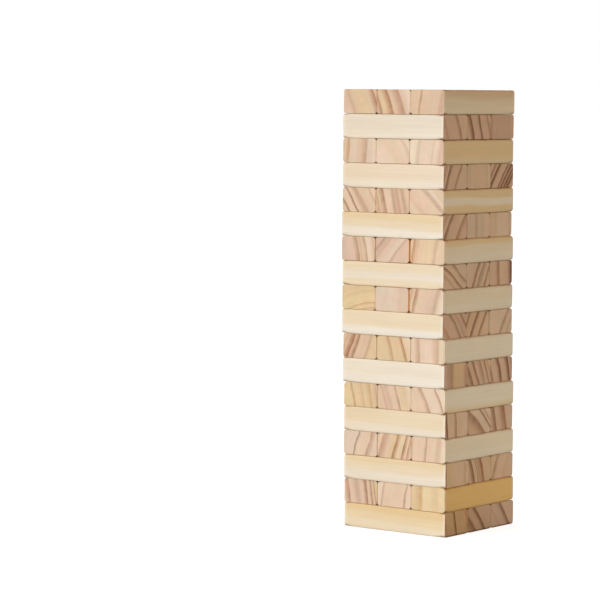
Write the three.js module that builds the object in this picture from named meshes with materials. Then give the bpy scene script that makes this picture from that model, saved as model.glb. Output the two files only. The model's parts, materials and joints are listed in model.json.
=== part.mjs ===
// Giant tumbling tower: fifty-four loose pine blocks, stacked three to a layer in eighteen
// layers, each layer turned a quarter turn from the one below it.
//
// Units are millimetres, +Z is up. The origin is the centre of the bottom layer, on the floor.
// Odd layers (1, 3, ... 17, counted from the floor) run along X, so their block ends show on
// the +X and -X sides. Even layers (2, 4, ... 18) run along Y, so their ends show on -Y and +Y.
//
// Every block has its own mesh. In its own frame its length lies along X, its width along Y
// and its thickness along Z, with z = 0 on its underside.
import * as THREE from "three";

// ---------------------------------------------------------------- driving dimensions
const BLOCK_LENGTH = 150; // along the grain
const BLOCK_WIDTH = 49.75; // three and their gaps come close to one block length
const BLOCK_THICKNESS = 29.7; // sanded thickness of a nominal 30 mm block
const LAYER_PITCH = 29.86; // floor of one layer to the floor of the next
const LONG_EDGE_RADIUS = 3.2; // rounding of the four edges along the length
const END_EASE = 0.4; // small bevel round each end face
const CORNER_STEPS = 3; // facets in each rounded long edge
const SIDE_GAP = 0.2; // ordinary gap between two blocks of one layer

// Each block differs a little in size and place. Each spread is plus or minus.
const LENGTH_SPREAD = 0.35;
const WIDTH_SPREAD = 0.08;
const THICKNESS_SPREAD = 0.07;
const SLIP_SPREAD = 0.4; // shift along the block's length
const BLOCK_TWIST_DEG = 0.035; // turn of one block from its layer

// Each layer's random seed is SEED_STEP * layer number + SEED_START.
const SEED_STEP = 7919;
const SEED_START = 17;

// Names across a layer, in order of the layer's local Y.
const PLACES_ALONG_X = ["front", "middle", "back"]; // layer runs along X: -Y is the front
const PLACES_ALONG_Y = ["left", "middle", "right"]; // layer runs along Y: -X is the left

// Pine tints, from pale to honey.
const TINTS = {
  p: { color: 0xeadfc8, roughness: 0.62 }, // pale
  s: { color: 0xe6d3a8, roughness: 0.6 }, // straw
  r: { color: 0xe2c4a4, roughness: 0.64 }, // rosy
};

// How each layer sits when stacked by hand, from the floor up: [offset in x, offset in y,
// twist in degrees, extra first gap, extra second gap, tints of its blocks in place order]
const STACKING = [
  [0.0, 0.0, 0.12, 0.3, 0.3, "sps"],
  [-0.3, -0.2, 0.06, 0.4, 0.1, "rps"],
  [-1.0, -0.7, 0.62, 0.0, 0.1, "spr"],
  [-1.0, -0.7, 0.44, 0.2, 0.4, "rrp"],
  [-1.7, -1.2, 0.62, 0.2, 0.0, "pps"],
  [-1.4, -1.0, 0.21, 0.0, 0.1, "srr"],
  [-2.7, -1.9, 0.41, 0.4, 0.1, "ppr"],
  [-2.6, -1.9, 0.44, 0.4, 0.2, "rsr"],
  [-4.3, -3.0, -0.16, 0.4, 0.2, "srp"],
  [-3.9, -2.7, -0.2, 0.0, 1.3, "spr"],
  [-4.4, -3.1, 0.13, 0.1, 0.0, "srp"],
  [-4.2, -3.0, 0.25, 0.1, 2.2, "rrs"],
  [-5.3, -3.7, -0.02, 0.4, 0.1, "spp"],
  [-4.5, -3.2, -0.19, 0.4, 0.1, "rrp"],
  [-4.7, -3.3, -0.15, 0.0, 0.1, "ppr"],
  [-4.5, -3.1, -0.43, 0.0, 0.0, "ppp"],
  [-4.9, -3.4, -0.86, 0.1, 0.3, "prp"],
  [-4.2, -3.0, -0.47, 0.0, 0.0, "srs"],
];

// ---------------------------------------------------------------- tolerances
// The Mulberry32 generator, seeded so that the tolerances come out the same every time.
function seededRandom(seed) {
  let state = seed >>> 0;
  return () => {
    state = (state + 0x6d2b79f5) >>> 0;
    let mixed = Math.imul(state ^ (state >>> 15), state | 1);
    mixed ^= mixed + Math.imul(mixed ^ (mixed >>> 7), mixed | 61);
    return ((mixed ^ (mixed >>> 14)) >>> 0) / 2 ** 32;
  };
}

// Size, slip and twist of one block. The draws are taken in this order. The bottom layer's
// blocks neither slip nor twist, and draw nothing for it.
function drawBlock(random, isBottom) {
  const spread = (amount) => (random() * 2 - 1) * amount;
  return {
    length: BLOCK_LENGTH + spread(LENGTH_SPREAD),
    width: BLOCK_WIDTH + spread(WIDTH_SPREAD),
    thickness: BLOCK_THICKNESS + spread(THICKNESS_SPREAD),
    slip: isBottom ? 0 : spread(SLIP_SPREAD),
    twist: isBottom ? 0 : spread(BLOCK_TWIST_DEG),
  };
}

// ---------------------------------------------------------------- one block
// A rectangle centred on the origin, with rounded corners.
function roundedRectangle(width, height, radius) {
  const quarterTurn = Math.PI / 2;
  const cornerSigns = [[1, 1], [-1, 1], [-1, -1], [1, -1]];
  const points = cornerSigns.flatMap(([signX, signY], corner) => {
    const centreX = signX * (width / 2 - radius);
    const centreY = signY * (height / 2 - radius);
    return Array.from({ length: CORNER_STEPS + 1 }, (_, step) => {
      const angle = quarterTurn * (corner + step / CORNER_STEPS);
      return new THREE.Vector2(
        centreX + radius * Math.cos(angle),
        centreY + radius * Math.sin(angle),
      );
    });
  });
  return new THREE.Shape(points);
}

// The section swept along local X, with a bevel round both ends.
function blockGeometry({ length, width, thickness }) {
  // The bevel grows the section by END_EASE all round and the sweep by END_EASE at each end.
  const depth = length - 2 * END_EASE;
  const section = roundedRectangle(
    width - 2 * END_EASE,
    thickness - 2 * END_EASE,
    LONG_EDGE_RADIUS - END_EASE,
  );
  const geometry = new THREE.ExtrudeGeometry(section, {
    depth,
    steps: 1,
    curveSegments: 1,
    bevelEnabled: true,
    bevelThickness: END_EASE,
    bevelSize: END_EASE,
    bevelSegments: 1,
  });
  geometry.translate(0, 0, -depth / 2);
  // Turn the section's X to local Y, its Y to local Z and the sweep to local X.
  const turn = new THREE.Matrix4().makeBasis(
    new THREE.Vector3(0, 1, 0),
    new THREE.Vector3(0, 0, 1),
    new THREE.Vector3(1, 0, 0),
  );
  geometry.applyMatrix4(turn);
  geometry.translate(0, 0, thickness / 2);
  return geometry;
}

function pine({ color, roughness }) {
  return new THREE.MeshStandardMaterial({ color, roughness, metalness: 0 });
}

// ---------------------------------------------------------------- one layer
// Local Y of each block's centre. The middle block stands off the layer's centre line by
// half the difference of the gaps, towards the narrower one.
function centresAcross([first, second, third], firstGap, secondGap) {
  const middle = (firstGap - secondGap) / 2;
  return [
    middle - second.width / 2 - firstGap - first.width / 2,
    middle,
    middle + second.width / 2 + secondGap + third.width / 2,
  ];
}

function buildLayer(number, [x, y, twist, firstExtra, secondExtra, tints]) {
  const alongX = number % 2 === 1;
  const places = alongX ? PLACES_ALONG_X : PLACES_ALONG_Y;
  const group = new THREE.Group();
  group.name = `layer_${String(number).padStart(2, "0")}`;
  group.position.set(x, y, (number - 1) * LAYER_PITCH);
  // A layer along Y has its local X on -Y, so that its local Y runs from left to right.
  const heading = alongX ? 0 : -Math.PI / 2;
  group.rotation.z = heading + THREE.MathUtils.degToRad(twist);

  const random = seededRandom(SEED_STEP * number + SEED_START);
  const blocks = places.map(() => drawBlock(random, number === 1));
  const centres = centresAcross(blocks, SIDE_GAP + firstExtra, SIDE_GAP + secondExtra);

  blocks.forEach((block, i) => {
    const mesh = new THREE.Mesh(blockGeometry(block), pine(TINTS[tints[i]]));
    mesh.name = `${group.name}_${places[i]}_block`;
    mesh.position.set(block.slip, centres[i], 0);
    mesh.rotation.z = THREE.MathUtils.degToRad(block.twist);
    group.add(mesh);
  });
  return group;
}

// ---------------------------------------------------------------- the tower
const tower = new THREE.Group();
tower.name = "giant_tumbling_tower";
STACKING.forEach((row, i) => tower.add(buildLayer(i + 1, row)));

export default tower;
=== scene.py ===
import json
import math
import random

import bpy
import numpy as np
from mathutils import Matrix, Vector, noise


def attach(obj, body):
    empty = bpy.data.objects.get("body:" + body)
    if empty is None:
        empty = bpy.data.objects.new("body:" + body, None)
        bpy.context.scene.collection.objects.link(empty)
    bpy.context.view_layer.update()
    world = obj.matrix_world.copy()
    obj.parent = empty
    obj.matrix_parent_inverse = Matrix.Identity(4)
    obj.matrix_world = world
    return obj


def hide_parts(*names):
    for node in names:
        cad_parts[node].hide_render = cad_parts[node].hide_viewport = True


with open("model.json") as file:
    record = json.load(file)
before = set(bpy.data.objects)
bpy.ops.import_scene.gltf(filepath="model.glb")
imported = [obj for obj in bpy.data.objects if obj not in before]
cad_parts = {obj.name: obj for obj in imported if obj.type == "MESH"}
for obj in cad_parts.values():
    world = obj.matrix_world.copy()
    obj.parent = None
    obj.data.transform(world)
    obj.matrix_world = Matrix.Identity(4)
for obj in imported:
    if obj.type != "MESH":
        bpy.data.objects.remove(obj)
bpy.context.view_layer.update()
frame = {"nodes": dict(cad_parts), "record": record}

# A giant tumbling tower of loose pine blocks, upright on the floor at z = 0 with its front
# towards -y. Odd layers run along X and hold a front, a middle and a back block; even layers
# run along Y and hold a left, a middle and a right one.
#
# Each CAD block is stood for by a finer one of the same size: rounded and slightly uneven long
# edges, eased ends, a few small knocks, and growth rings that run through the whole block, so
# that the lines on its ends carry on as streaks along its sides.
#
# A block's own frame is in mm about its centre: x along it, y across it, z up. The +x end faces
# the camera's side: world +x in odd layers, world -y in even ones.


# ------------------------------------------------------------------ what each block is like
# Each block is (lean, pith, tones, rings, sides), as seen from its +x end, with u running 0..1
# from left to right across its width:
#   lean   degrees of the rings from upright, positive leaning top left to bottom right
#   pith   mm from the centre to the pith, positive when the pith lies to the left
#   tones  "tone:u" across the end
#   rings  "u width_mm kind strength", with s and mm from the centre in place of u if flat sawn
#   sides  "upper_tone middle_tone lower_tone split_mm slope softness_mm streaks fade", where
#          slope is the rise of the tones in mm per 100 mm, and fade how much warmer and darker
#          the -x end is: partly the board's own tone and partly painted shade
BLOCKS = {
    "01_front": (12, 400, "amber:0 amber:.5 amber:1",
        "0.05 4 o 0.3, 0.44 4.5 d 0.78, 0.97 5 o 0.6",
        "gold honey honeyed 2 -3 6 0.07 0.15"),
    "01_middle": (38, 200, "umber:0 umber:.6 mauve:1",
        "0 11 d 0.6, 0.5 6 d 0.78",
        "cream cream pale 4 3 9 0.1 0.8"),
    "01_back": (38, 300, "mauve:0 mauve:.5 mauve:1",
        "0.15 5 l 0.25, 0.6 6.5 d 0.72",
        "pale honeyed peachy 6 -4 10 0.06 -0.3"),
    "02_left": (11, 300, "peach:0 rosy:.3 rosy:.6 tan:.85 ochre:1",
        "0.11 6 r 0.65, 0.4 7 g 0.45, 0.66 4.5 r 0.85, 0.82 2.8 r 0.78, 0.93 2.4 r 0.72",
        "honey peachy honey -1 -2 12 0.1 -0"),
    "02_middle": (-11, -200, "shell:0 peach:.3 peach:.7 shell:1",
        "0.15 3.2 g 0.55, 0.83 3 b 0.65",
        "cream cream peachy 5 0 7 0.1 -0.5"),
    "02_right": (0, 500, "ochre:0 butter:.45 butter:.7 butter:1",
        "0.25 10 o 0.5, 0.72 10 o 0.18",
        "strong strong strong 0 3 8 0.06 0.1"),
    "03_front": (2, 400, "ochre:0 peach:.5 peach:1",
        "0.02 4 r 0.72, 0.85 5 g 0.28",
        "honey honeyed cream 3 -1 5 0.05 0.2"),
    "03_middle": (18, 400, "tan:0 tan:.6 tan:1",
        "0.15 7 d 0.8, 0.37 2.6 b 0.62, 0.45 2.6 b 0.48, 0.58 8 r 0.92",
        "cream cream pale -4 2 9 0.07 0.4"),
    "03_back": (-24, -400, "tan:0 peach:.5 rosy:1",
        "0.2 6 b 0.55, 0.7 10 o 0.15",
        "cream honeyed cream -4 3 12 0.05 0.6"),
    "04_left": (-18, -500, "grey:0 grey:.3 peach:.6 grey:1",
        "0.375 2.6 d 0.68, 0.78 7 r 0.52",
        "peachy honeyed honeyed -6 1 12 0.09 -0.3"),
    "04_middle": (-17, -500, "peach:0 peach:.3 ochre:.4 sand:.65 peach:1",
        "0.16 9 r 0.55, 0.53 5.5 r 0.88, 0.8 4.5 r 0.88, 0.95 4 r 0.6",
        "cream honeyed peachy 5 -3 10 0.11 -0.3"),
    "04_right": (-5, 400, "peach:0 peach:.3 peach:.6 cream:1",
        "0.02 3 r 0.3, 0.42 3.5 b 0.55, 0.78 8 l 0.6",
        "cream cream chalk 0 0 12 0.03 0"),
    "05_front": (5, 500, "peach:0 peach:.5 shell:1",
        "0.07 5.5 d 0.85, 0.46 5 b 0.68, 0.97 3 o 0.35",
        "honeyed honeyed cream 0 -4 9 0.05 0.5"),
    "05_middle": (50, 200, "tan:0 peach:.3 shell:.6 shell:1",
        "0.3 11 d 0.6, 0.83 3.2 d 0.75, 0.99 3 b 0.4",
        "pale pale peachy -1 -2 15 0.05 -0.2"),
    "05_back": (15, 400, "rosy:0 rosy:.6 grey:1",
        "0.15 8 d 0.68, 0.6 11 r 0.78",
        "pale pale pale -7 2 9 0.11 0.6"),
    "06_left": (11, 500, "straw:0 straw:.2 ochre:.5 ochre:.8 tan:1",
        "0.28 2.8 b 0.62, 0.55 5 o 0.22, 0.78 5 o 0.42, 0.97 3 r 0.3",
        "cream cream honey 7 0 14 0.05 0.4"),
    "06_middle": (16, 400, "tan:0 rosy:.3 peach:.6 ochre:.85 shell:1",
        "0.2 3 g 0.4, 0.32 6 l 0.35, 0.6 4 b 0.6",
        "cream honey peachy -3 -3 13 0.06 -0.1"),
    "06_right": (23, 500, "peach:0 peach:.3 shell:.6 shell:.9 cream:1",
        "0.39 5.5 r 0.62, 0.82 3.5 r 0.75",
        "chalk chalk honeyed -4 0 6 0.03 0"),
    "07_front": (0, 500, "mauve:0 mauve:.25 ochre:.5 peach:1",
        "0.3 13 b 0.42, 0.93 7 r 0.52",
        "cream cream chalk 0 0 12 0.03 0.2"),
    "07_middle": (28, 400, "tan:0 rosy:.5 peach:1",
        "0.05 8 d 0.65, 0.34 4.5 d 0.72, 0.62 6 b 0.55, 0.83 4.5 b 0.65, 0.97 3 r 0.4",
        "cream cream pale -3 -4 6 0.07 0.2"),
    "07_back": (16, 300, "peach:0 rosy:.3 rosy:.6 mauve:1",
        "0.04 5 d 0.62, 0.41 6.5 d 0.85, 0.8 7.5 d 0.85, 0.98 3 r 0.5",
        "cream pale cream 7 2 15 0.12 0.7"),
    "08_left": (-20, 500, "tan:0 tan:.5 tan:.7 ochre:.9 ochre:1",
        "0.03 3 o 0.45, 0.19 7.5 r 0.97, 0.37 5.5 r 0.85, 0.75 4 g 0.45",
        "honey honeyed cream -2 -2 8 0.07 -0.1"),
    "08_middle": (18, 500, "ochre:0 ochre:.5 ochre:.85 shell:1",
        "0.4 5.5 r 0.5, 0.79 4 r 0.78",
        "peachy honey pale 2 0 6 0.07 0.4"),
    "08_right": (0, 500, "shell:0 peach:.15 shell:.5 peach:.8 cream:1",
        "0.21 6 r 0.45, 0.76 8 r 0.32, 0.96 2.5 l 0.4",
        "chalk chalk chalk 0 0 12 0.03 0"),
    "09_front": (40, 200, "rosy:0 rosy:.5 mauve:1",
        "0 7 o 0.5, 0.55 5 b 0.65, 0.75 4 l 0.4, 0.97 3 d 0.62",
        "honeyed honeyed chalk 0 -2 6 0.06 0.2"),
    "09_middle": (-28, -300, "tan:0 tan:.4 peach:.8 peach:1",
        "0.02 4 d 0.62, 0.36 5 d 0.78, 0.72 5 b 0.8",
        "honey pale cream 7 -2 10 0.07 0.4"),
    "09_back": (-32, -300, "shell:0 shell:.4 shell:1",
        "0.66 6 b 0.55, 0.95 4 g 0.4",
        "cream cream honeyed -7 -1 13 0.07 0.9"),
    "10_left": (-75, -90, "ochre:0 straw:.5 ochre:1",
        "s-13 3 o 0.12, s-6.6 3.4 o 0.15, s8.5 3.2 o 0.5, s15.5 3 o 0.4",
        "honey pale cream -7 0 16 0.05 0.5"),
    "10_middle": (-10, 300, "grey:0 grey:.5 rosy:1",
        "0.3 6 l 0.12, 0.75 6 l 0.15",
        "strong gold strong 0 0 8 0.12 0"),
    "10_right": (-17, -300, "tan:0 peach:.3 rosy:.65 shell:.9 cream:1",
        "0.02 3 o 0.5, 0.16 4.5 r 0.7, 0.77 6 g 0.45",
        "cream cream chalk 2 -3 8 0.04 -0.1"),
    "11_front": (56, 200, "peach:0 peach:.5 grey:1",
        "0.05 4 r 0.3, 0.4 4 d 0.72, 0.8 4.5 b 0.65",
        "honeyed cream honeyed -1 1 7 0.05 0.35"),
    "11_middle": (-26, -400, "grey:0 rosy:.4 grey:.6 peach:1",
        "0.4 5 d 0.68, 0.64 8 b 0.55, 0.9 4.5 r 0.78",
        "cream pale peachy 2 -1 6 0.07 0.4"),
    "11_back": (3, 400, "rosy:0 rosy:.3 peach:.6 mauve:1",
        "0.38 6.5 r 0.68, 0.93 7 d 0.88",
        "cream cream cream -5 -2 15 0.11 -0.4"),
    "12_left": (11, 400, "mauve:0 rosy:.3 tan:.55 shell:.85 tan:1",
        "0.45 6 r 0.6, 0.57 3 l 0.3, 0.72 4.5 b 0.55, 0.97 2.5 l 0.4",
        "pale honeyed pale -3 -4 13 0.12 0"),
    "12_middle": (-42, -300, "mauve:0 rosy:.35 grey:.5 rosy:.8 rosy:1",
        "0.04 5 r 0.45, 0.2 4 l 0.35, 0.66 3.5 r 0.38",
        "strong gold strong 0 0 8 0.12 0"),
    "12_right": (-10, -300, "peach:0 sand:.4 sand:.6 peach:1",
        "0.09 5.5 o 0.8, 0.2 3 o 0.25, 0.72 5 g 0.38",
        "honey cream chalk 2 0 6 0.05 0"),
    "13_front": (-33, -200, "rosy:0 rosy:.4 peach:.6 rosy:1",
        "0.02 4 o 0.45, 0.25 5 d 0.72, 0.78 6.5 b 0.65",
        "honey honeyed chalk 1 -4 6 0.05 0.5"),
    "13_middle": (2, 400, "grey:0 grey:.5 shell:1",
        "0.03 4 r 0.3, 0.42 5 b 0.35, 0.7 5 l 0.2",
        "pale peachy honey -2 -4 14 0.09 0.3"),
    "13_back": (0, 400, "peach:0 shell:.4 shell:.6 cream:1",
        "0.3 5 l 0.2, 0.9 5 g 0.3",
        "honey honeyed pale 4 -2 16 0.08 -0.2"),
    "14_left": (33, 400, "tan:0 peach:.15 peach:.3 tan:.6 peach:1",
        "0.02 3 d 0.7, 0.3 3 d 0.8, 0.55 7 g 0.55, 0.95 3 g 0.45",
        "cream honeyed pale 8 2 10 0.11 0.2"),
    "14_middle": (12, 500, "tan:0 peach:.35 rosy:.6 tan:.9 peach:1",
        "0.04 5 o 0.45, 0.22 7 r 0.75, 0.54 5 g 0.65, 0.67 6 l 0.7, 0.84 5 g 0.55",
        "peachy pale honeyed 4 -4 13 0.08 -0.3"),
    "14_right": (48, 300, "peach:0 peach:.5 shell:.9 peach:1",
        "0.1 6 l 0.3, 0.74 5.5 g 0.6",
        "honey chalk honey 0 0 5 0.06 0"),
    "15_front": (-24, -300, "rosy:0 rosy:.5 grey:1",
        "0.03 4 r 0.45, 0.22 4.5 d 0.78, 0.62 4 b 0.65",
        "peachy peachy cream 0 0 9 0.05 0.35"),
    "15_middle": (0, 500, "grey:0 peach:.5 shell:1",
        "0.1 5 g 0.18, 0.85 6 l 0.25",
        "pale honey peachy -1 3 16 0.11 0.7"),
    "15_back": (-40, -300, "rosy:0 rosy:.5 rosy:1",
        "0.02 4 d 0.6, 0.18 5 d 0.95, 0.55 3.6 d 0.78, "
        "0.69 4.5 d 0.92, 0.84 4.5 d 0.92, 0.98 5 d 0.92",
        "honeyed peachy peachy 2 4 12 0.11 0.4"),
    "16_left": (-5, 400, "tan:0 grey:.35 tan:.5 grey:.8 shell:1",
        "0.15 5 o 0.65, 0.66 8 r 0.45",
        "honeyed honeyed cream -6 1 15 0.09 -0"),
    "16_middle": (38, 60, "shell:0 peach:.5 shell:1",
        "0.93 4 g 0.35",
        "honeyed cream peachy -6 2 13 0.1 0.8"),
    "16_right": (-8, -300, "cream:0 cream:.15 shell:.4 shell:.8 rosy:1",
        "0.26 5.5 g 0.4, 0.68 3 l 0.3, 0.9 6 l 0.3",
        "honey honey honeyed -3 0 8 0.03 0"),
    "17_front": (20, 300, "rosy:0 rosy:.5 peach:1",
        "0.1 5 r 0.28, 0.66 5 b 0.65",
        "pale pale cream 0 0 10 0.04 0.35"),
    "17_middle": (17, 400, "rosy:0 rosy:.5 rosy:1",
        "0.17 7 d 0.8, 0.55 5 d 0.78, 0.93 4 r 0.6",
        "cream cream honeyed 2 0 10 0.07 0.2"),
    "17_back": (0, 300, "mauve:0 mauve:.5 rosy:1",
        "0.04 5 r 0.35, 0.8 6 l 0.2",
        "honeyed pale honey 2 4 7 0.07 -0.5"),
    "18_left": (22, 260, "rosy:0 tan:.25 ochre:.55 tan:.85 tan:1",
        "0.24 5.5 g 0.35, 0.93 6.5 r 0.8",
        "cream cream pale -5 -2 16 0.1 -0.4"),
    "18_middle": (19, 300, "tan:0 ochre:.18 tan:.5 rosy:.8 shell:1",
        "0.03 5 r 0.75, 0.35 8.5 r 0.8, 0.67 9 r 0.6",
        "honeyed honeyed cream -6 4 11 0.09 0.2"),
    "18_right": (-8, -400, "tan:0 tan:.5 rosy:1",
        "0.29 3 b 0.55, 0.9 6 l 0.6, 0.98 3 r 0.3",
        "tanned pale cream 0 0 9 0.03 0.15"),
}
# blocks with a wide gap on their right, whose tips carry painted orange-brown shade where it is
# open
LOOSE = ("10_middle", "12_middle")
GAP_SHADE_TIP = {"Tip": (1.0, 0.46, 0.10, 1), "Tip Amount": 0.85}


def srgb(*display):
    """Linear colour from 0-255 display values."""
    return tuple(
        v / 12.92 if v <= 0.04045 else ((v + 0.055) / 1.055) ** 2.4
        for v in (value / 255 for value in display)
    )


END_TONES = {
    "cream": srgb(243, 229, 207),
    "shell": srgb(239, 220, 200),
    "grey": srgb(231, 213, 194),
    "peach": srgb(235, 211, 187),
    "tan": srgb(227, 202, 175),
    "ochre": srgb(230, 207, 170),
    "straw": srgb(233, 213, 170),
    "rosy": srgb(229, 203, 183),
    "mauve": srgb(220, 195, 177),
    "umber": srgb(213, 186, 160),
    "amber": srgb(217, 188, 150),
    "butter": srgb(238, 220, 180),
    "sand": srgb(237, 215, 183),
}
SIDE_TONES = {
    "chalk": srgb(247, 243, 231),
    "cream": srgb(245, 238, 222),
    "pale": srgb(240, 232, 216),
    "peachy": srgb(244, 230, 208),
    "honeyed": srgb(243, 230, 202),
    "tanned": srgb(232, 213, 188),
    "honey": srgb(241, 222, 184),
    "gold": srgb(237, 211, 163),
    "strong": srgb(241, 208, 144),
}
# what a full-strength ring of each kind multiplies the end tone by
RING_TINTS = {
    "r": (0.52, 0.28, 0.19),  # reddish
    "d": (0.24, 0.07, 0.01),  # dark
    "b": (0.44, 0.28, 0.17),  # brown
    "g": (0.64, 0.51, 0.44),  # greyish, soft
    "o": (0.74, 0.47, 0.24),  # orange
    "l": (0.80, 0.65, 0.58),  # light, soft
}
SOFT_KINDS = "gl"
# Darkness across a ring: (place in ring widths, away from the pith; darkness 0..1).
SOFT_RING = [(-0.75, 0), (-0.1, 1), (0.25, 0.9), (0.75, 0)]
SHARP_RING = [(-0.85, 0), (-0.2, 0.6), (0.28, 1), (0.52, 0)]  # builds slowly, stops sharply
SPAN = 32.0  # mm, half the stretch that a block's ring profile covers
MIN_GAP = 0.18  # mm between stops of the profile
MAX_STOPS = 32  # as many as a colour ramp holds
FLAT_SAWN_LEAN = 60  # degrees; beyond it the tones run up the end, not across it
FLAT_SAWN_REACH = 14  # mm, half the stretch of those tones
GRAIN_END = 75.0  # mm along x, about where the ends lie, for the run and fade of the grain

# ------------------------------------------------------------------ shape, wear and painted shade, in mm
MM_PER_METRE = 1000
EDGE = 3.3  # rounding of the four long edges
EASE = 0.15  # rounding round each end
CLEARANCE = 0.02  # taken off each size of a block
# Pairs hold a value for the layers along Y, then one for the layers along X.
# how much painted crease shade the long edges take away from the ends: (lower, upper) edges
CREASE_SHADE_LEVEL = ((0.12, 0.68), (0.13, 0.35))
# how much of the rounding is left there: (lower, upper) edges
CRISP = ((0.68, 0.88), (0.26, 0.46))
# and how much of it the corners have
CORNER = (1.12, 1.04)
# painted shade that the rims of the sawn ends multiply by, where the layers meet
END_RIM_SHADE = ((0.92, 0.76, 0.50, 1), (0.70, 0.52, 0.32, 1))
# what the side tones multiply by: the layers along Y are cut from slightly paler boards
BOARD = ((1.04, 1.06, 1.03), (1.0, 1.0, 1.0))
RING_DEPTH = (0.88, 0.96)
# what the painted shade in the creases along the long edges multiplies by, in every layer
PAINTED_SHADE_TINT = (0.36, 0.15, 0.04, 1)


# ------------------------------------------------------------------ mesh of one block
def stations(half, middle):
    """Grid lines across a section: -half..half, with each corner band in four steps."""
    shoulder = 0.7
    arc = [EDGE * (1 - math.cos(math.pi / 2 * i / 4)) for i in range(4)]
    low = [-half + a for a in arc] + [-half + EDGE, -half + EDGE + shoulder]
    inner = half - EDGE - shoulder
    mid = [-inner + 2 * inner * i / middle for i in range(1, middle)]
    return low + mid + [-v for v in reversed(low)]


def long_stations(main, knocks):
    """Section places along a block: close by the ends and knocks, even in between."""
    near_end, spans = 4, 30
    places = {-main, main}
    for inset in (0.5, 1.6, near_end):
        places |= {-main + inset, main - inset}
    for i in range(1, spans):
        places.add(-main + near_end + (2 * main - 2 * near_end) * i / spans)
    for knock in knocks:
        for shift in (-2.4, -1.2, 0, 1.2, 2.4):
            if abs(knock[0] + shift) < main - 2:
                places.add(knock[0] + shift)
    places = sorted(places)
    kept = [places[0]]
    for x in places[1:]:
        if x - kept[-1] > 0.35:
            kept.append(x)
    kept[-1] = main
    return kept


def section_point(y, z, half_y, half_z, radius):
    """A grid point of the square section moved onto the section with rounded corners."""
    dy, dz = abs(y) - (half_y - radius), abs(z) - (half_z - radius)
    if dy <= 0 or dz <= 0:
        return y, z
    reach = max(dy, dz)
    length = math.hypot(dy, dz)
    dy, dz = dy / length * reach, dz / length * reach
    return (
        math.copysign(half_y - radius + dy, y),
        math.copysign(half_z - radius + dz, z),
    )


def ease(value, start, stop):
    """Smooth step from 0 at start to 1 at stop."""
    k = min(1.0, max(0.0, (value - start) / (stop - start)))
    return k * k * (3 - 2 * k)


def draw_knocks(rng, half_x, half_y, half_z):
    """Small knocks on the long edges and corners: (x, y, z, reach, depth)."""
    knocks = []
    for _ in range(rng.choice((2, 3, 3, 4))):
        x = rng.uniform(-half_x, half_x)
        if rng.random() < 0.4:  # on a corner
            x = math.copysign(half_x - rng.uniform(0, 1.5), x)
        y = rng.choice((-1, 1)) * half_y
        z = rng.choice((-1, 1)) * half_z
        reach = rng.uniform(2.2, 5.0)
        knocks.append((x, y, z, reach, rng.uniform(0.18, 0.5)))
    return knocks


def worn_point(x, y, z, end, half, offset, knocks):
    """A point after sanding, which leaves faces a hair low and wavy, and after the knocks."""
    half_x, half_y, half_z = half
    spot = Vector((x * 0.018, y * 0.05, z * 0.05)) + offset
    wave = 0.5 + 0.5 * noise.noise(spot)
    ripple = 0.5 + 0.5 * noise.noise(spot * 3.1 + Vector((7, 3, 1)))
    dip = 0.10 * wave + 0.05 * ripple
    full = min(1.0, (half_x - abs(x)) / 14)  # none just before an end
    if abs(abs(z) - half_z) < 0.02 and end < 0.5:
        by_edge = min(1.0, 0.3 + (half_y - EDGE - abs(y)) / 8)
        z = math.copysign(half_z - dip * full * by_edge, z)
    if abs(abs(y) - half_y) < 0.02 and end < 0.5:
        y = math.copysign(half_y - dip * full, y)
    if end > 0.9:
        x = math.copysign(abs(x) - 0.6 * dip, x)
    for knock_x, knock_y, knock_z, reach, depth in knocks:
        away = math.sqrt((x - knock_x) ** 2 + (y - knock_y) ** 2 + (z - knock_z) ** 2) / reach
        if away < 1:
            push = depth * (1 - away * away) ** 2
            y -= math.copysign(push, knock_y) * 0.7
            z -= math.copysign(push, knock_z) * 0.7
            if abs(abs(knock_x) - half_x) < 2:
                x -= math.copysign(push, knock_x) * 0.5
    return x, y, z


def corner_radius(x, y, z, offset, along_x):
    """Rounding of the long edge by a grid point: rounder at the block's corners."""
    corner = Vector((x * 0.05, math.copysign(11, y), math.copysign(5, z))) + offset
    radius = EDGE * (0.94 - 0.10 * noise.noise(corner))
    close = ease(abs(x), 58, 72)
    return radius * (CRISP[along_x][z > 0] * (1 - close) + CORNER[along_x] * close)


def crease_shading(x, upper, dy, dz, along_x):
    """Painted crease shade on a long edge, most about two thirds of the way round to the resting
    face.
    """
    turn = math.degrees(math.atan2(dz, dy))
    crease_profile = min(turn / 50, 1.0) ** 1.3 if turn < 60 else 1.0 - 0.022 * (turn - 60)
    # full painted shade in the hollows between blocks by the +x end, half as much by the -x end
    near_end = ease(abs(x), 66, 71.5) * (1.0 if x > 0 else 0.5)
    return crease_profile * max(CREASE_SHADE_LEVEL[along_x][upper], near_end)


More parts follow.
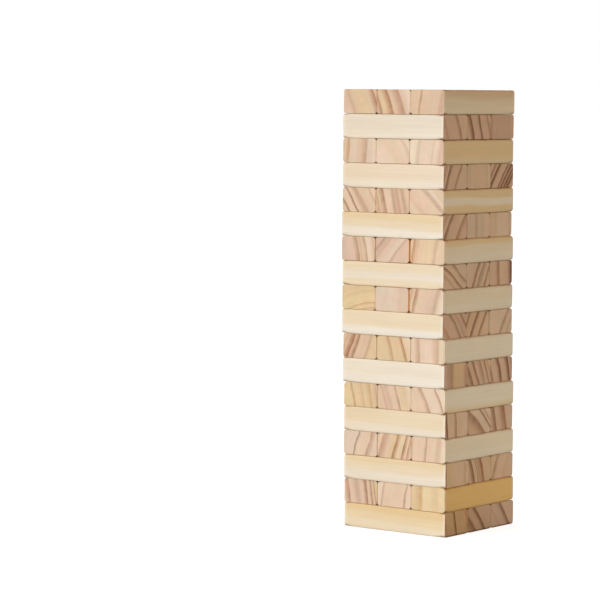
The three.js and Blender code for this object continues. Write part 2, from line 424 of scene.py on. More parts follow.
def block_mesh(length, width, height, seed, along_x):
    """Vertices in block millimetres, faces, and the end mask and the painted crease shade mask
    of each vertex.
    """
    rng = random.Random(seed)
    half = half_x, half_y, half_z = length / 2, width / 2, height / 2
    offset = Vector([rng.uniform(-90, 90) for _ in range(3)])
    knocks = draw_knocks(rng, *half)
    ys = stations(half_y, 9)
    zs = stations(half_z, 6)
    main = half_x - EASE

    # the loop of grid points round the section, counter-clockwise seen from +x (y right, z up)
    ny, nz = len(ys) - 1, len(zs) - 1
    loop = (
        [(i, 0) for i in range(ny)]
        + [(ny, j) for j in range(nz)]
        + [(i, nz) for i in range(ny, 0, -1)]
        + [(0, j) for j in range(nz, 0, -1)]
    )
    verts, ends, crease_shades = [], [], []

    def add(x, y, z, end, crease_shade):
        verts.append(worn_point(x, y, z, end, half, offset, knocks))
        ends.append(end)
        crease_shades.append(crease_shade)
        return len(verts) - 1

    def section(x, inset, end):
        row = []
        for i, j in loop:
            grid_y, grid_z = ys[i], zs[j]
            radius = corner_radius(x, grid_y, grid_z, offset, along_x)
            # the corner band follows the radius at this station
            scale = radius / EDGE
            dy, dz = abs(grid_y) - (half_y - EDGE), abs(grid_z) - (half_z - EDGE)
            y = math.copysign(half_y - radius + dy * scale, grid_y) if dy > 0 else grid_y
            z = math.copysign(half_z - radius + dz * scale, grid_z) if dz > 0 else grid_z
            y, z = section_point(y, z, half_y, half_z, radius)
            if inset:
                y *= (half_y - inset) / half_y
                z *= (half_z - inset) / half_z
            # mask of painted shade in the creases along the long edges, and a faint one round
            # the eased ends
            crease_shade = 0.0
            if dy > 0 and dz > 0:
                crease_shade = crease_shading(x, grid_z > 0, dy, dz, along_x)
            if end > 0:
                crease_shade = max(crease_shade, 0.04 * math.sin(math.pi * end))
            row.append(add(x, y, z, end, crease_shade))
        return row

    def eased(sign, end):
        angle = end * math.pi / 2
        x = sign * (main + EASE * math.sin(angle))
        return section(x, EASE * (1 - math.cos(angle)), end)

    turns = (0.25, 0.5, 0.75, 1.0)
    rows = [eased(-1, turn) for turn in reversed(turns)]
    rows += [section(x, 0.0, 0.0) for x in long_stations(main, knocks)]
    rows += [eased(1, turn) for turn in turns]
    faces = []
    for a, b in zip(rows, rows[1:]):
        for i in range(len(loop)):
            j = (i + 1) % len(loop)
            faces.append((a[i], b[i], b[j], a[j]))
    # the flat ends, as a grid that meets the last section
    for row, sign in ((rows[0], -1), (rows[-1], 1)):
        at = dict(zip(loop, row))
        shrink_y, shrink_z = (half_y - EASE) / half_y, (half_z - EASE) / half_z
        for i in range(1, ny):
            for j in range(1, nz):
                y, z = section_point(ys[i], zs[j], half_y, half_z, EDGE)
                at[i, j] = add(sign * half_x, y * shrink_y, z * shrink_z, 1.0, 0.0)
        for i in range(ny):
            for j in range(nz):
                quad = (at[i, j], at[i + 1, j], at[i + 1, j + 1], at[i, j + 1])
                faces.append(quad if sign > 0 else quad[::-1])
    return np.array(verts), faces, ends, crease_shades


# ------------------------------------------------------------------ node helpers
class Tree:
    """A short way to write node trees. Values may be numbers, tuples or sockets."""

    def __init__(self, tree):
        self.tree = tree

    def node(self, kind, inputs=None, **props):
        made = self.tree.nodes.new(kind)
        for name, value in props.items():
            setattr(made, name, value)
        for key, value in (inputs or {}).items():
            self.set(made.inputs[key], value)
        return made

    def set(self, socket, value):
        if isinstance(value, bpy.types.NodeSocket):
            self.tree.links.new(value, socket)
        else:
            socket.default_value = value

    def math(self, operation, *values):
        inputs = dict(enumerate(values))
        return self.node("ShaderNodeMath", inputs, operation=operation).outputs[0]

    def vmath(self, operation, a, b):
        return self.node("ShaderNodeVectorMath", {0: a, 1: b}, operation=operation).outputs[0]

    def xyz(self, x, y, z):
        return self.node("ShaderNodeCombineXYZ", {"X": x, "Y": y, "Z": z}).outputs[0]

    def split(self, vector):
        return self.node("ShaderNodeSeparateXYZ", {0: vector}).outputs

    def noise(self, vector, detail=2.0, rough=0.5, output="Fac"):
        inputs = {"Vector": vector, "Scale": 1.0, "Detail": detail, "Roughness": rough}
        return self.node("ShaderNodeTexNoise", inputs).outputs[output]

    def remap(self, value, span, to=(0.0, 1.0), smooth=False):
        return self.node(
            "ShaderNodeMapRange",
            {
                "Value": value,
                "From Min": span[0],
                "From Max": span[1],
                "To Min": to[0],
                "To Max": to[1],
            },
            interpolation_type="SMOOTHSTEP" if smooth else "LINEAR",
        ).outputs[0]

    # a Mix node's colour sockets are inputs 6 and 7, and its float sockets 2 and 3
    def mix(self, factor, a, b, blend="MIX"):
        props = {"data_type": "RGBA", "blend_type": blend}
        return self.node("ShaderNodeMix", {0: factor, 6: a, 7: b}, **props).outputs[2]

    def mix_float(self, factor, a, b):
        inputs = {0: factor, 2: a, 3: b}
        return self.node("ShaderNodeMix", inputs, data_type="FLOAT").outputs[0]

    def times(self, colour, tint):
        return self.mix(1.0, colour, tint, "MULTIPLY")

    def stain(self, factor, colour, tint):
        """The colour multiplied by the tint, as far as the factor says."""
        return self.mix(factor, colour, self.times(colour, tint))


FLOAT, VECTOR, COLOUR = "NodeSocketFloat", "NodeSocketVector", "NodeSocketColor"
WHITE = (1, 1, 1, 1)


def node_group(name, defaults, outputs):
    """A node group, its tree, and the sockets inside it for its inputs and outputs."""
    made = bpy.data.node_groups.new(name, "ShaderNodeTree")
    for label, value in defaults.items():
        if isinstance(value, float):
            kind = FLOAT
        else:
            kind = VECTOR if len(value) == 3 else COLOUR
        socket = made.interface.new_socket(label, in_out="INPUT", socket_type=kind)
        socket.default_value = value
    for label, kind in outputs.items():
        made.interface.new_socket(label, in_out="OUTPUT", socket_type=kind)
    t = Tree(made)
    return made, t, t.node("NodeGroupInput").outputs, t.node("NodeGroupOutput").inputs


def empty_tree(owner):
    """The cleared node tree of a material or world."""
    owner.use_nodes = True
    owner.node_tree.nodes.clear()
    return Tree(owner.node_tree)


# ------------------------------------------------------------------ growth rings
def ring_group():
    """Where a point lies across the growth rings of its block."""
    group, t, ins, outs = node_group(
        "growth_rings",
        {
            "Pith Y": 0.0,
            "Pith Z": 0.0,
            "Bend": 100.0,
            "Side": 1.0,
            "Run Y": 0.0,
            "Run Z": 0.0,
            "Wobble": 1.0,
            "Seed": (0, 0, 0),
        },
        {"T": FLOAT, "S": FLOAT, "Round": FLOAT, "Loc": VECTOR, "End": FLOAT, "Edge": FLOAT},
    )

    def attribute(name, output):
        return t.node("ShaderNodeAttribute", attribute_name=name).outputs[output]

    loc = attribute("w_loc", "Vector")
    end = attribute("w_end", "Fac")
    # mask of painted shade in the creases along the long edges
    crease_shade = attribute("w_edge", "Fac")
    x, y, z = t.split(loc)
    # the grain runs slightly askew of the block
    back = t.math("SUBTRACT", x, GRAIN_END)
    y = t.math("MULTIPLY_ADD", back, ins["Run Y"], y)
    z = t.math("MULTIPLY_ADD", back, ins["Run Z"], z)

    def wobble(along, across, detail):
        scaled = t.xyz(
            t.math("MULTIPLY", x, along),
            t.math("MULTIPLY", y, across),
            t.math("MULTIPLY", z, across),
        )
        vector = t.vmath("ADD", scaled, ins["Seed"])
        return t.split(t.noise(vector, detail=detail, output="Color"))

    slow = wobble(along=0.007, across=0.034, detail=1.5)
    quick = wobble(along=0.02, across=0.17, detail=1.0)
    slow_size = t.math("MULTIPLY", ins["Wobble"], 5.0)
    quick_size = t.math("MULTIPLY", ins["Wobble"], 1.1)

    def from_pith(value, channel, pith):
        for way, size in ((slow, slow_size), (quick, quick_size)):
            centred = t.math("SUBTRACT", way[channel], 0.5)
            value = t.math("MULTIPLY_ADD", centred, size, value)
        return t.math("SUBTRACT", value, pith)

    dy = from_pith(y, 0, ins["Pith Y"])
    dz = from_pith(z, 1, ins["Pith Z"])
    squares = t.math("ADD", t.math("MULTIPLY", dy, dy), t.math("MULTIPLY", dz, dz))
    radius = t.math("SQRT", squares)
    across = t.math("MULTIPLY", t.math("SUBTRACT", radius, ins["Bend"]), ins["Side"])
    t.set(outs["S"], across)
    t.set(outs["T"], t.remap(across, (-SPAN, SPAN)))
    t.set(outs["Round"], t.math("MULTIPLY", t.math("ARCTAN2", dz, dy), ins["Bend"]))
    t.set(outs["Loc"], loc)
    t.set(outs["End"], end)
    t.set(outs["Edge"], crease_shade)
    return group


# ------------------------------------------------------------------ sanded pine
class Grain:
    """Noises that keep to a block's own frame or to its rings."""

    def __init__(self, t, ins):
        self.t, self.ins = t, ins
        self.x, self.y, self.z = t.split(ins["Loc"])

    def block_noise(self, scale, shift, **look):
        t = self.t
        vector = t.xyz(
            t.math("MULTIPLY_ADD", self.x, scale[0], shift),
            t.math("MULTIPLY", self.y, scale[1]),
            t.math("MULTIPLY", self.z, scale[2]),
        )
        return t.noise(t.vmath("ADD", vector, self.ins["Seed"]), **look)

    def ring_noise(self, across, around, shift, **look):
        t = self.t
        vector = t.xyz(
            t.math("MULTIPLY", self.ins["S"], across),
            t.math("MULTIPLY", self.ins["Round"], around),
            shift,
        )
        return t.noise(t.vmath("ADD", vector, self.ins["Seed"]), **look)


def end_colour(t, ins, grain, speck, cloud):
    """Colour of the sawn ends."""
    y, z = grain.y, grain.z
    thin = grain.ring_noise(across=0.62, around=0.02, shift=4.0, detail=3.0, rough=0.55)
    rays = grain.ring_noise(across=0.05, around=1.5, shift=9.0, rough=0.6)
    # a ring swells and thins as it goes round
    swell = grain.ring_noise(across=0.05, around=0.11, shift=2.0, rough=0.55)
    swell = t.math("MULTIPLY", ins["Ring Dark"], t.remap(swell, (0.35, 0.65), to=(-0.1, 1.0)))
    swell = t.math("MAXIMUM", swell, 0.0)
    ends = t.stain(swell, ins["Ring Colour"], tint=(0.80, 0.68, 0.58, 1))
    thin = t.remap(thin, (0.32, 0.68))
    thin_lines = t.mix(thin, (0.972, 0.952, 0.935, 1), (1.012, 1.012, 1.012, 1))
    ends = t.times(ends, thin_lines)
    ends = t.times(ends, t.remap(rays, (0.3, 0.7), to=(0.98, 1.015)))
    ends = t.times(ends, t.remap(speck, (0.3, 0.7), to=(0.965, 1.03)))
    ends = t.times(ends, t.remap(cloud, (0.3, 0.7), to=(0.965, 1.03)))

    # painted shade on the rim of a sawn end, uneven, and most where layers rest on each other
    high = t.math("SUBTRACT", t.math("ABSOLUTE", z), 13.9)
    wide = t.math("SUBTRACT", t.math("ABSOLUTE", y), 24.2)
    patchy = grain.block_noise(scale=(0.03, 0.07, 0.09), shift=120.0)
    rim_shade = t.math(
        "MAXIMUM",
        t.remap(high, (0.0, 0.9), smooth=True),
        t.remap(wide, (0.0, 0.6), to=(0.0, 0.08), smooth=True),
    )
    rim_shade = t.math("MULTIPLY", rim_shade, t.remap(patchy, (0.36, 0.60), to=(0.35, 1.0)))
    rim_shade = t.math("MULTIPLY", rim_shade, t.remap(z, (-8.0, 8.0), to=(0.35, 1.0)))
    ends = t.stain(rim_shade, ends, ins["Rim"])

    # warm stains here and there down the upright rims
    flank = t.remap(t.math("ABSOLUTE", y), (22.4, 24.5), smooth=True)
    spots = grain.block_noise(scale=(0.02, 0.05, 0.10), shift=150.0)
    spots = t.remap(spots, (0.46, 0.62), to=(0.0, 0.55))
    ends = t.stain(t.math("MULTIPLY", flank, spots), ends, tint=(1.0, 0.76, 0.54, 1))

    # the wood's own tint drifts between rosy and straw
    drift = grain.block_noise(scale=(0.01, 0.09, 0.09), shift=180.0, rough=0.6)
    drift = t.remap(drift, (0.36, 0.64))
    rosy, straw = (1.03, 0.985, 0.99, 1), (0.975, 1.015, 0.975, 1)
    ends = t.times(ends, t.mix(drift, rosy, straw))

    # painted contact shadow along the foot of a block on the ground
    foot = t.math("MULTIPLY", t.remap(z, (-12.0, -14.6), smooth=True), ins["Soil"])
    return t.stain(foot, ends, tint=(0.35, 0.24, 0.17, 1))


def side_colour(t, ins, grain, fibre, fine, cloud):
    """Colour of the four long faces."""
    x, z = grain.x, grain.z
    # three tones, one above the other, with a sloping and swaying split
    lift = t.math(
        "SUBTRACT",
        t.math("SUBTRACT", z, ins["Split"]),
        t.math("MULTIPLY", t.math("MULTIPLY", x, 0.01), ins["Slope"]),
    )
    sway = grain.block_noise(scale=(0.012, 0.05, 0.05), shift=20.0)
    sway = t.math("MULTIPLY_ADD", t.math("SUBTRACT", sway, 0.5), 7.0, lift)

    def above(height):
        low = t.math("MULTIPLY", ins["Soft"], -0.5)
        high = t.math("MULTIPLY", low, -1.0)
        return t.remap(t.math("SUBTRACT", sway, height), (low, high), smooth=True)

    side = t.mix(above(-5.0), ins["Lower"], ins["Middle"])
    side = t.mix(above(5.0), side, ins["Upper"])
    # the rings as streaks
    tint = t.math("MULTIPLY", ins["Ring Dark"], ins["Streaks"])
    side = t.mix(tint, side, (0.52, 0.27, 0.10, 1.0))
    # fibres, fine lines and short dark flecks
    fleck = grain.block_noise(scale=(0.09, 1.9, 1.9), shift=41.0, detail=1.0)
    fleck = t.remap(fleck, (0.66, 0.74))
    fibre = t.remap(fibre, (0.32, 0.68))
    fibre_lines = t.mix(fibre, (0.972, 0.958, 0.93, 1), (1.012, 1.012, 1.012, 1))
    side = t.times(side, fibre_lines)
    side = t.times(side, t.remap(fine, (0.3, 0.7), to=(0.98, 1.015)))
    side = t.mix(t.math("MULTIPLY", fleck, 0.09), side, (0.42, 0.24, 0.12, 1))
    side = t.times(side, t.remap(cloud, (0.3, 0.7), to=(0.98, 1.015)))
    # warmer and darker towards one of its ends: partly the board's own tone and partly painted
    # shade where the light falls off along the face
    far_tone_and_shade = t.remap(x, (-GRAIN_END, GRAIN_END), to=(1.0, 0.0))
    far_tone_and_shade = t.math("MULTIPLY", far_tone_and_shade, ins["Fade"])
    side = t.stain(far_tone_and_shade, side, tint=(0.92, 0.85, 0.74, 1))
    # painted highlight on the last millimetres before an end; on a block beside a wide gap,
    # painted orange-brown shade there instead
    tip = t.remap(t.math("ABSOLUTE", x), (70.9, 73.4), smooth=True)
    return t.mix(tip, side, t.mix(ins["Tip Amount"], side, ins["Tip"]))


def relief(t, ins, grain, speck, fibre, fine):
    """Normal with raised latewood and fibres on the sides, saw marks and pores on the ends."""
    saw_place = t.xyz(
        0.0, t.math("MULTIPLY", grain.z, 0.18), t.math("MULTIPLY", grain.y, 0.33)
    )
    saw = t.node(
        "ShaderNodeTexWave",
        {"Vector": saw_place, "Scale": 1.0, "Distortion": 1.6, "Detail": 2.0},
        bands_direction="Z",
    ).outputs["Fac"]

    def height(lines, line_height, grains, grain_height, ring_height):
        rings = t.math("MULTIPLY", ins["Ring Dark"], ring_height)
        return t.math(
            "ADD",
            t.math("MULTIPLY", lines, line_height),
            t.math("MULTIPLY_ADD", grains, grain_height, rings),
        )

    on_end = height(saw, 0.05, speck, grain_height=0.16, ring_height=0.07)
    on_side = height(fine, 0.05, fibre, grain_height=0.06, ring_height=0.04)
    both = t.mix_float(ins["End"], on_side, on_end)
    bump = {"Strength": 0.6, "Distance": 0.001, "Height": both}
    return t.node("ShaderNodeBump", bump).outputs[0]


def finish_group():
    """Colour, roughness and relief of sanded pine from its ring colour."""
    group, t, ins, outs = node_group(
        "sanded_pine",
        {
            "Ring Colour": WHITE,
            "Ring Dark": 0.0,
            "Upper": WHITE,
            "Middle": WHITE,
            "Lower": WHITE,
            "Split": 0.0,
            "Slope": 0.0,
            "Soft": 8.0,
            "Streaks": 0.1,
            "Fade": 0.0,
            # painted shade in the creases along the long edges
            "Grime": WHITE,
            # painted shade on the rims of the sawn ends
            "Rim": WHITE,
            # painted contact shadow along the foot of a block on the ground
            "Soil": 0.0,
            # painted highlight on the last millimetres of the long faces before an end
            "Tip": (1.0, 0.95, 0.88, 1),
            "Tip Amount": 0.36,
            "S": 0.0,
            "Round": 0.0,
            "Loc": (0, 0, 0),
            "End": 0.0,
            "Edge": 0.0,
            "Seed": (0, 0, 0),
        },
        {"Colour": COLOUR, "Roughness": FLOAT, "Normal": VECTOR},
    )
    grain = Grain(t, ins)
    speck = grain.block_noise(scale=(0.5, 1.5, 1.5), shift=30.0, detail=3.0, rough=0.7)
    cloud = grain.block_noise(scale=(0.02, 0.06, 0.06), shift=60.0)
    fibre = grain.block_noise(scale=(0.010, 0.42, 0.42), shift=11.0, detail=3.0, rough=0.6)
    fine = grain.block_noise(scale=(0.05, 2.6, 2.6), shift=17.0, rough=0.6)
    ends = end_colour(t, ins, grain, speck, cloud)
    side = side_colour(t, ins, grain, fibre, fine, cloud)
    colour = t.mix(ins["End"], side, ends)
    # long edges: painted shade in the creases where blocks rest on each other, browner and
    # duller, uneven, and darkest in the hollows by the ends
    crease_mask = grain.block_noise(scale=(0.06, 0.2, 0.2), shift=51.0)
    crease_mask = t.math("MULTIPLY", ins["Edge"], t.remap(crease_mask, (0.35, 0.7), to=(0.62, 1.0)))
    t.set(outs["Colour"], t.stain(crease_mask, colour, ins["Grime"]))

    rough_side = t.remap(fibre, (0.3, 0.7), to=(0.66, 0.54))
    rough_end = t.remap(speck, (0.3, 0.7), to=(0.74, 0.86))
    rough = t.mix_float(ins["End"], rough_side, rough_end)
    t.set(outs["Roughness"], t.math("MULTIPLY_ADD", crease_mask, 0.10, rough))
    t.set(outs["Normal"], relief(t, ins, grain, speck, fibre, fine))
    return group


RING_GROUP = ring_group()
FINISH_GROUP = finish_group()


# ------------------------------------------------------------------ one block's material
def profile(width, lean, bend, tones, rings, depth):
    """The pith (y, z, distance, side), and stops (position 0..1, colour, darkness) across the
    rings of a block."""
    lean_angle = math.radians(lean)
    side = 1.0 if bend > 0 else -1.0
    reach = abs(bend)
    pith_y = -side * math.cos(lean_angle) * reach
    pith_z = -side * math.sin(lean_angle) * reach

    def across(u):
        y = (u - 0.5) * width
        return side * (math.hypot(y - pith_y, -pith_z) - reach)

    tone_stops = []
    for word in tones.split():
        tone, u = word.split(":")
        tone_stops.append((across(float(u)), END_TONES[tone]))
    if abs(lean) > FLAT_SAWN_LEAN:
        step = 2 * FLAT_SAWN_REACH / (len(tone_stops) - 1)
        tone_stops = [
            (-FLAT_SAWN_REACH + step * k, colour) for k, (_, colour) in enumerate(tone_stops)
        ]
    tone_stops.sort(key=lambda stop: stop[0])
    tone_places = [s for s, _ in tone_stops]
    tone_channels = list(zip(*(colour for _, colour in tone_stops)))

    marks = []
    for entry in rings.split(","):
        where, ring_width, kind, strength = entry.split()
        s = float(where[1:]) if where[0] == "s" else across(float(where))
        marks.append((s, float(ring_width), kind, float(strength)))
    marks.sort()
    shapes = []  # places and darknesses of each ring, and its kind
    for s, ring_width, kind, strength in marks:
        points = SOFT_RING if kind in SOFT_KINDS else SHARP_RING
        if side < 0:
            points = [(-p, dark) for p, dark in reversed(points)]
        places = [s + p * ring_width for p, _ in points]
        shapes.append((places, [dark * strength * depth for _, dark in points], kind))

    spots = {-SPAN, SPAN} | set(tone_places)
    for places, _, _ in shapes:
        spots |= set(places)
    spots = sorted(s for s in spots if -SPAN <= s <= SPAN)
    kept = [spots[0]]
    for s in spots[1:]:
        if s - kept[-1] > MIN_GAP:
            kept.append(s)
    while len(kept) > MAX_STOPS:  # drop the stop that matters least
        gaps = [(kept[k + 1] - kept[k - 1], k) for k in range(1, len(kept) - 1)]
        kept.pop(min(gaps)[1])
    stops = []
    for s in kept:
        colour = [float(np.interp(s, tone_places, channel)) for channel in tone_channels]
        total = 0.0
        for places, darknesses, kind in shapes:
            dark = float(np.interp(s, places, darknesses))
            colour = [v * (1 - dark + dark * m) for v, m in zip(colour, RING_TINTS[kind])]
            total = max(total, dark * (0.5 if kind in SOFT_KINDS else 1.0))
        stops.append(((s + SPAN) / (2 * SPAN), colour, total))
    return (pith_y, pith_z, reach, side), stops


def pine(block, width, seed, layer):
    """The material of one block."""
    lean, bend, tones, rings, sides = BLOCKS[block]
    along_x = layer % 2
    rng = random.Random(seed * 31 + 5)
    (pith_y, pith_z, reach, side), stops = profile(
        width, lean, bend, tones, rings, RING_DEPTH[along_x]
    )
    upper, middle, lower, *numbers = sides.split()
    split, slope, soft, streaks, fade = map(float, numbers)

    def board(tone):
        return (*(v * gain for v, gain in zip(SIDE_TONES[tone], BOARD[along_x])), 1)

    material = bpy.data.materials.new(f"layer_{block}_pine")
    t = empty_tree(material)
    shift = tuple(rng.uniform(-40, 40) for _ in range(3))
    ring_inputs = {
        "Pith Y": pith_y,
        "Pith Z": pith_z,
        "Bend": reach,
        "Side": side,
        "Run Y": rng.uniform(-0.03, 0.03),
        "Run Z": rng.uniform(-0.022, 0.022),
        "Wobble": rng.uniform(0.7, 1.2),
        "Seed": shift,
    }
    ring = t.node("ShaderNodeGroup")
    ring.node_tree = RING_GROUP
    for label, value in ring_inputs.items():
        ring.inputs[label].default_value = value
    ramp = t.node("ShaderNodeValToRGB", {"Fac": ring.outputs["T"]})
    ramp.color_ramp.interpolation = "LINEAR"
    elements = ramp.color_ramp.elements
    elements[0].position, elements[1].position = stops[0][0], stops[-1][0]
    for position, _, _ in stops[1:-1]:
        elements.new(position)
    for k, (_, colour, dark) in enumerate(stops):
        elements[k].color = (*colour, dark)
    finish_inputs = {
        "Ring Colour": ramp.outputs["Color"],
        "Ring Dark": ramp.outputs["Alpha"],
        **{label: ring.outputs[label] for label in ("S", "Round", "Loc", "End", "Edge")},
        "Upper": board(upper),
        "Middle": board(middle),
        "Lower": board(lower),
        "Split": split,
        "Slope": slope,
        "Soft": soft,
        "Streaks": streaks,
        "Fade": fade,
        # painted shade in the creases along the long edges
        "Grime": PAINTED_SHADE_TINT,
        # painted shade on the rims of the sawn ends
        "Rim": END_RIM_SHADE[along_x],
        # painted contact shadow along the foot of the bottom layer
        "Soil": 1.0 if layer == 1 else 0.0,
        "Seed": shift,
        # painted orange-brown shade on the tips beside a wide gap
        **(GAP_SHADE_TIP if block in LOOSE else {}),
    }
    finish = t.node("ShaderNodeGroup", finish_inputs, node_tree=FINISH_GROUP)
    bsdf = t.node(
        "ShaderNodeBsdfPrincipled",
        {
            "Base Color": finish.outputs["Colour"],
            "Roughness": finish.outputs["Roughness"],
            "Normal": finish.outputs["Normal"],
            "IOR": 1.45,
            "Specular IOR Level": 0.35,
        },
    )
    t.node("ShaderNodeOutputMaterial", {"Surface": bsdf.outputs[0]})
    material.diffuse_color = (*SIDE_TONES[upper], 1)
    return material


# ------------------------------------------------------------------ build every block
def own_frame(obj, along_x):
    """Centre, axes and size in mm of a CAD block, from its largest +y or +x face."""
    normal, area = None, 0.0
    for face in obj.data.polygons:
        n = face.normal
        if abs(n.z) < 0.05:
            towards = n.y if along_x else n.x
            if towards > 0.9 and face.area > area:
                normal, area = n.copy(), face.area
    across = Vector((normal.x, normal.y, 0)).normalized()
    axes = (Vector((across.y, -across.x, 0)), across, Vector((0, 0, 1)))
    corners = np.array([v.co for v in obj.data.vertices], float)
    centre, size = Vector(), []
    for axis in axes:
        reach = corners @ np.array(axis)
        low, high = reach.min(), reach.max()
        centre += axis * ((low + high) / 2)
        size.append((high - low) * MM_PER_METRE)
    return centre, axes, size


def build_block(node, seed, body):
    key = node.replace("_block", "")
    block = key.removeprefix("layer_")
    layer = int(block.split("_")[0])
    along_x = layer % 2 == 1
    centre, axes, size = own_frame(frame["nodes"][node], along_x)
    verts, faces, ends, crease_shades = block_mesh(*(v - CLEARANCE for v in size), seed, along_x)
    placed = verts / MM_PER_METRE @ np.array(axes, float) + np.array(centre)
    mesh = bpy.data.meshes.new(key + "_pine")
    mesh.from_pydata(placed.tolist(), [], faces)
    mesh.update()
    loc = mesh.attributes.new("w_loc", "FLOAT_VECTOR", "POINT")
    loc.data.foreach_set("vector", verts.astype(np.float32).ravel())
    # the end mask, and the mask of painted crease shade
    for label, values in (("w_end", ends), ("w_edge", crease_shades)):
        mask = mesh.attributes.new(label, "FLOAT", "POINT")
        mask.data.foreach_set("value", np.array(values, np.float32))
    mesh.shade_smooth()
    piece = bpy.data.objects.new(key + "_pine_block", mesh)
    bpy.context.scene.collection.objects.link(piece)
    mesh.materials.append(pine(block, size[1], seed, layer))
    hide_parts(node)
    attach(piece, body)


node_body = {
    node: body
    for body, nodes in frame["record"]["behaviour"]["bodies"].items()
    for node in nodes
}
for seed, node in enumerate(sorted(frame["nodes"]), start=100):
    build_block(node, seed, node_body[node])

# ------------------------------------------------------------------ floor, in metres
FLOOR_Z = -0.0002
FLOOR_RADII = (0.5, 1.5, 4.0, 12.0, 40.0)
FLOOR_SIDES = 96
GLOW = 0.86  # light of its own that the camera sees on the floor
# what the floor throws back: beside the tower on its +x +y side and its -x -y side, and far off
BOUNCE_RIGHT, BOUNCE_LEFT = (0.60, 0.66, 0.66, 1), (0.16, 0.12, 0.07, 1)
BOUNCE_FAR = (0.16, 0.13, 0.10, 1)


def floor_material():
    material = bpy.data.materials.new("pale_floor")
    t = empty_tree(material)
    place = t.node("ShaderNodeNewGeometry").outputs["Position"]
    seen = t.node("ShaderNodeLightPath").outputs["Is Camera Ray"]
    # what the camera sees: a matt, almost white floor
    cloud = t.noise(t.vmath("MULTIPLY", place, (3.0, 3.0, 3.0)), detail=3.0)
    shade = t.mix(cloud, (0.28, 0.30, 0.32, 1), (0.30, 0.32, 0.34, 1))
    pale = t.node("ShaderNodeBsdfDiffuse", {"Color": shade})
    glow = t.node("ShaderNodeEmission", {"Color": WHITE, "Strength": GLOW})
    both = t.node("ShaderNodeAddShader", {0: pale.outputs[0], 1: glow.outputs[0]})
    # what it throws back on the blocks
    away = t.node("ShaderNodeVectorMath", {0: place}, operation="LENGTH").outputs["Value"]
    near = t.remap(away, (0.1, 1.4), to=(1.0, 0.0), smooth=True)
    x, y, _ = t.split(place)
    across = t.remap(t.math("ADD", x, y), (-0.15, 0.35), smooth=True)
    close = t.mix(across, BOUNCE_LEFT, BOUNCE_RIGHT)
    bounce = t.node("ShaderNodeBsdfDiffuse", {"Color": t.mix(near, BOUNCE_FAR, close)})
    surface = t.node(
        "ShaderNodeMixShader", {0: seen, 1: bounce.outputs[0], 2: both.outputs[0]}
    )
    t.node("ShaderNodeOutputMaterial", {"Surface": surface.outputs[0]})
    return material


def build_floor():
    """A round floor: a fan of triangles inside widening rings of quads."""
    turns = [2 * math.pi * i / FLOOR_SIDES for i in range(FLOOR_SIDES)]
    verts = [(0.0, 0.0, FLOOR_Z)]
    for radius in FLOOR_RADII:
        verts += [(radius * math.cos(a), radius * math.sin(a), FLOOR_Z) for a in turns]
    faces = []
    for i in range(FLOOR_SIDES):
        j = (i + 1) % FLOOR_SIDES
        faces.append((0, 1 + i, 1 + j))
        for k in range(len(FLOOR_RADII) - 1):
            inner = 1 + k * FLOOR_SIDES
            outer = inner + FLOOR_SIDES
            faces.append((inner + i, outer + i, outer + j, inner + j))
    mesh = bpy.data.meshes.new("floor")
    mesh.from_pydata(verts, [], faces)
    mesh.update()
    floor = bpy.data.objects.new("floor", mesh)
    bpy.context.scene.collection.objects.link(floor)
    mesh.materials.append(floor_material())


# ------------------------------------------------------------------ light
AMBIENT = (0.735, 0.575, 0.435, 1)
AMBIENT_LEVEL = (1.31, 0.58)  # at the horizon and overhead


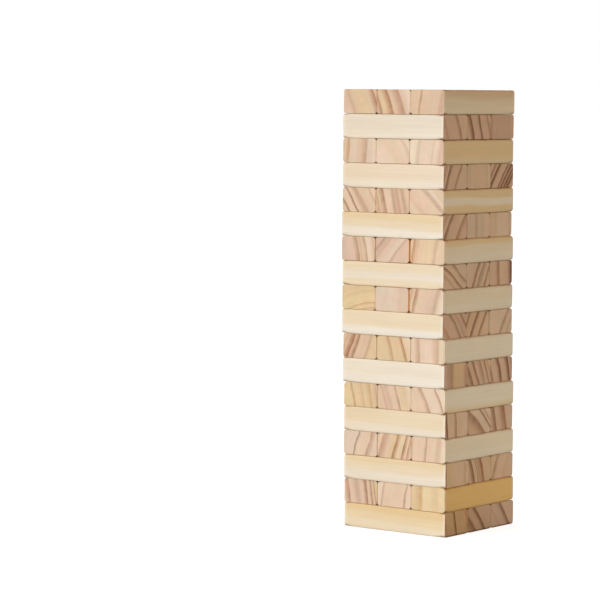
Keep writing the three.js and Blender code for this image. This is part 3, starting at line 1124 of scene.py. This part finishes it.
def build_world():
    """White to the camera, and a warm room to the blocks, brighter round the sides."""
    world = bpy.data.worlds.new("studio")
    bpy.context.scene.world = world
    t = empty_tree(world)
    seen = t.node("ShaderNodeLightPath").outputs["Is Camera Ray"]
    sky = t.split(t.node("ShaderNodeTexCoord").outputs["Generated"])
    level = t.remap(sky["Z"], (0.0, 1.0), to=AMBIENT_LEVEL)
    ambient = t.node("ShaderNodeBackground", {"Color": AMBIENT, "Strength": level})
    white = t.node("ShaderNodeBackground", {"Color": WHITE, "Strength": 1.0})
    pick = t.node("ShaderNodeMixShader", {0: seen, 1: ambient.outputs[0], 2: white.outputs[0]})
    t.node("ShaderNodeOutputWorld", {"Surface": pick.outputs[0]})


def softbox(name, towards, value, colour, spread):
    """A large far softbox: value is how bright it makes a white card that faces it, and
    spread its width in degrees."""
    light = bpy.data.lights.new(name, "SUN")
    light.energy = math.pi * value
    light.color = colour
    light.angle = math.radians(spread)
    holder = bpy.data.objects.new(name, light)
    bpy.context.scene.collection.objects.link(holder)
    holder.rotation_euler = Vector(towards).to_track_quat("Z", "Y").to_euler()


# ------------------------------------------------------------------ camera
# It stands 3.5 m away at the tower's front right, level with its top, and looks slightly down
# and to the tower's left.
CAMERA_PLACE = (1.9585, -2.8303, 0.5346)  # metres
HEADING = math.radians(37.381)  # from +y towards -x
PITCH = math.radians(4.274)  # downwards
ROLL = math.radians(0.449)


def build_camera():
    lens = bpy.data.cameras.new("camera")
    lens.sensor_width = 36.0
    lens.lens = 167.9
    lens.clip_start, lens.clip_end = 0.1, 100.0
    forward = Vector(
        (
            -math.sin(HEADING) * math.cos(PITCH),
            math.cos(HEADING) * math.cos(PITCH),
            -math.sin(PITCH),
        )
    )
    right = Vector((math.cos(HEADING), math.sin(HEADING), 0))
    up = right.cross(forward)
    rolled_right = right * math.cos(ROLL) + up * math.sin(ROLL)
    rolled_up = up * math.cos(ROLL) - right * math.sin(ROLL)
    placed = Matrix((rolled_right, rolled_up, -forward)).transposed().to_4x4()
    placed.translation = CAMERA_PLACE
    camera = bpy.data.objects.new("camera", lens)
    bpy.context.scene.collection.objects.link(camera)
    camera.matrix_world = placed
    bpy.context.scene.camera = camera


build_floor()
build_world()
softbox(
    "key_softbox", towards=(-0.34, -0.86, 0.30), value=0.70, colour=(0.83, 0.90, 0.97), spread=24
)
softbox(
    "back_softbox", towards=(-0.70, 0.62, 0.36), value=0.40, colour=(0.95, 0.98, 1.0), spread=34
)
view = bpy.context.scene.view_settings
view.view_transform = "Standard"
view.look = "None"
view.exposure = 0.0
view.gamma = 1.0
build_camera()
